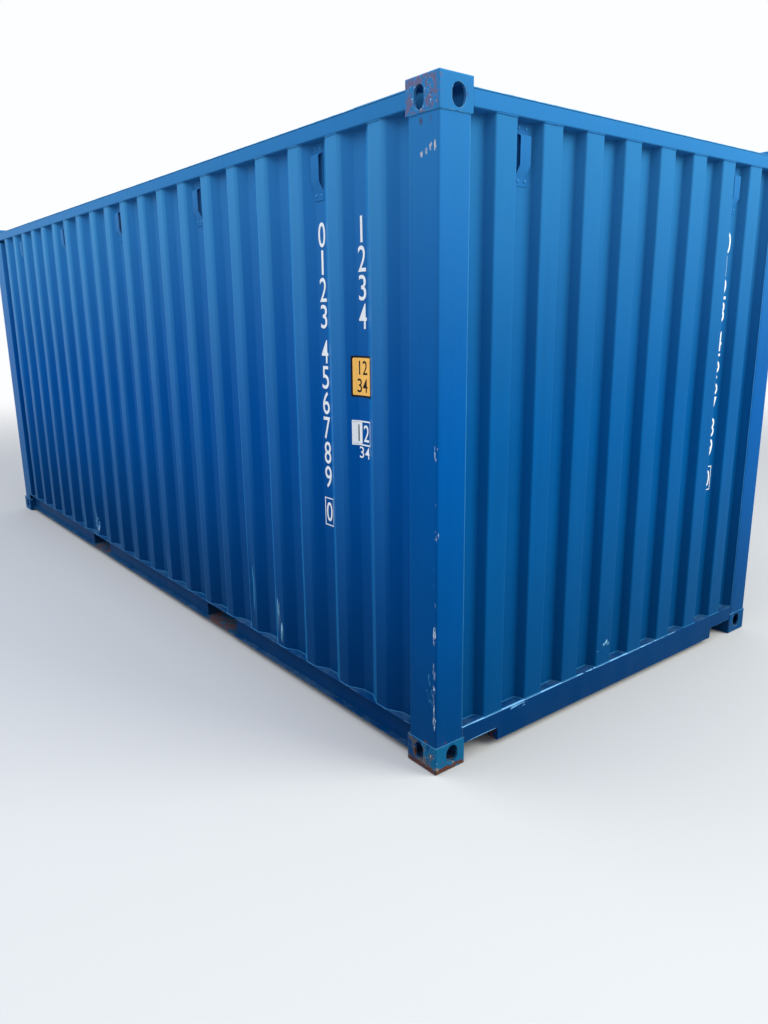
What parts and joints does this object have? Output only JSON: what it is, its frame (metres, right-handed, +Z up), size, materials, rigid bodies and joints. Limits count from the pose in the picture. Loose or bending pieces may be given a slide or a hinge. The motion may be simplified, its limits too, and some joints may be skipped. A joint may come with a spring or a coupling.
{
  "type": "shipping container",
  "caption": "Closed steel shipping container with corrugated walls, corner castings with lock slots, fork pockets, wall vents and doors at one end.",
  "frame": {"origin": "under the middle of the container, level with the feet of the corner castings", "axes": "+X along the container towards the blind front wall, the doors at -X, +Z up"},
  "size_m": [6.058, 2.438, 2.591],
  "materials": {
    "container_paint": "glossy blue paint, worn and scratched",
    "casting_paint": "blue paint over cast steel, rusty at the rims",
    "pocket_steel": "blue paint worn to rust",
    "underframe_paint": "dull dark blue undercoat",
    "plywood": "plywood",
    "seal_rubber": "matte black",
    "zinc_steel": "galvanised"
  },
  "bodies": {
    "root": {"front_right_foot_casting": "casting_paint", "front_left_foot_casting": "casting_paint", "rear_right_foot_casting": "casting_paint", "rear_left_foot_casting": "casting_paint", "front_right_top_casting": "casting_paint", "front_left_top_casting": "casting_paint", "rear_right_top_casting": "casting_paint", "rear_left_top_casting": "casting_paint", "front_right_post": "container_paint", "front_left_post": "container_paint", "rear_right_post": "container_paint", "rear_left_post": "container_paint", "right_top_rail": "container_paint", "left_top_rail": "container_paint", "front_top_rail": "container_paint", "door_header": "container_paint", "right_bottom_rail": "container_paint", "left_bottom_rail": "container_paint", "front_sill": "container_paint", "door_sill": "container_paint", "right_side_wall": "container_paint", "left_side_wall": "container_paint", "front_wall": "container_paint", "roof_sheet": "container_paint", "roof_corner_plates": "container_paint", "front_cross_members": "underframe_paint", "middle_cross_members": "underframe_paint", "rear_cross_members": "underframe_paint", "front_fork_pocket": "pocket_steel", "rear_fork_pocket": "pocket_steel", "floor_boards": "plywood", "right_side_vents": "container_paint", "left_side_vents": "container_paint", "front_vents": "container_paint", "right_door_frame": "container_paint", "left_door_frame": "container_paint", "right_door_panel": "container_paint", "left_door_panel": "container_paint", "door_seals": "seal_rubber", "door_hinges": "container_paint", "lock_rods": "zinc_steel", "rod_brackets": "zinc_steel", "cam_keepers": "zinc_steel", "door_handles": "zinc_steel", "handle_catches": "zinc_steel"}
  },
  "joints": []
}
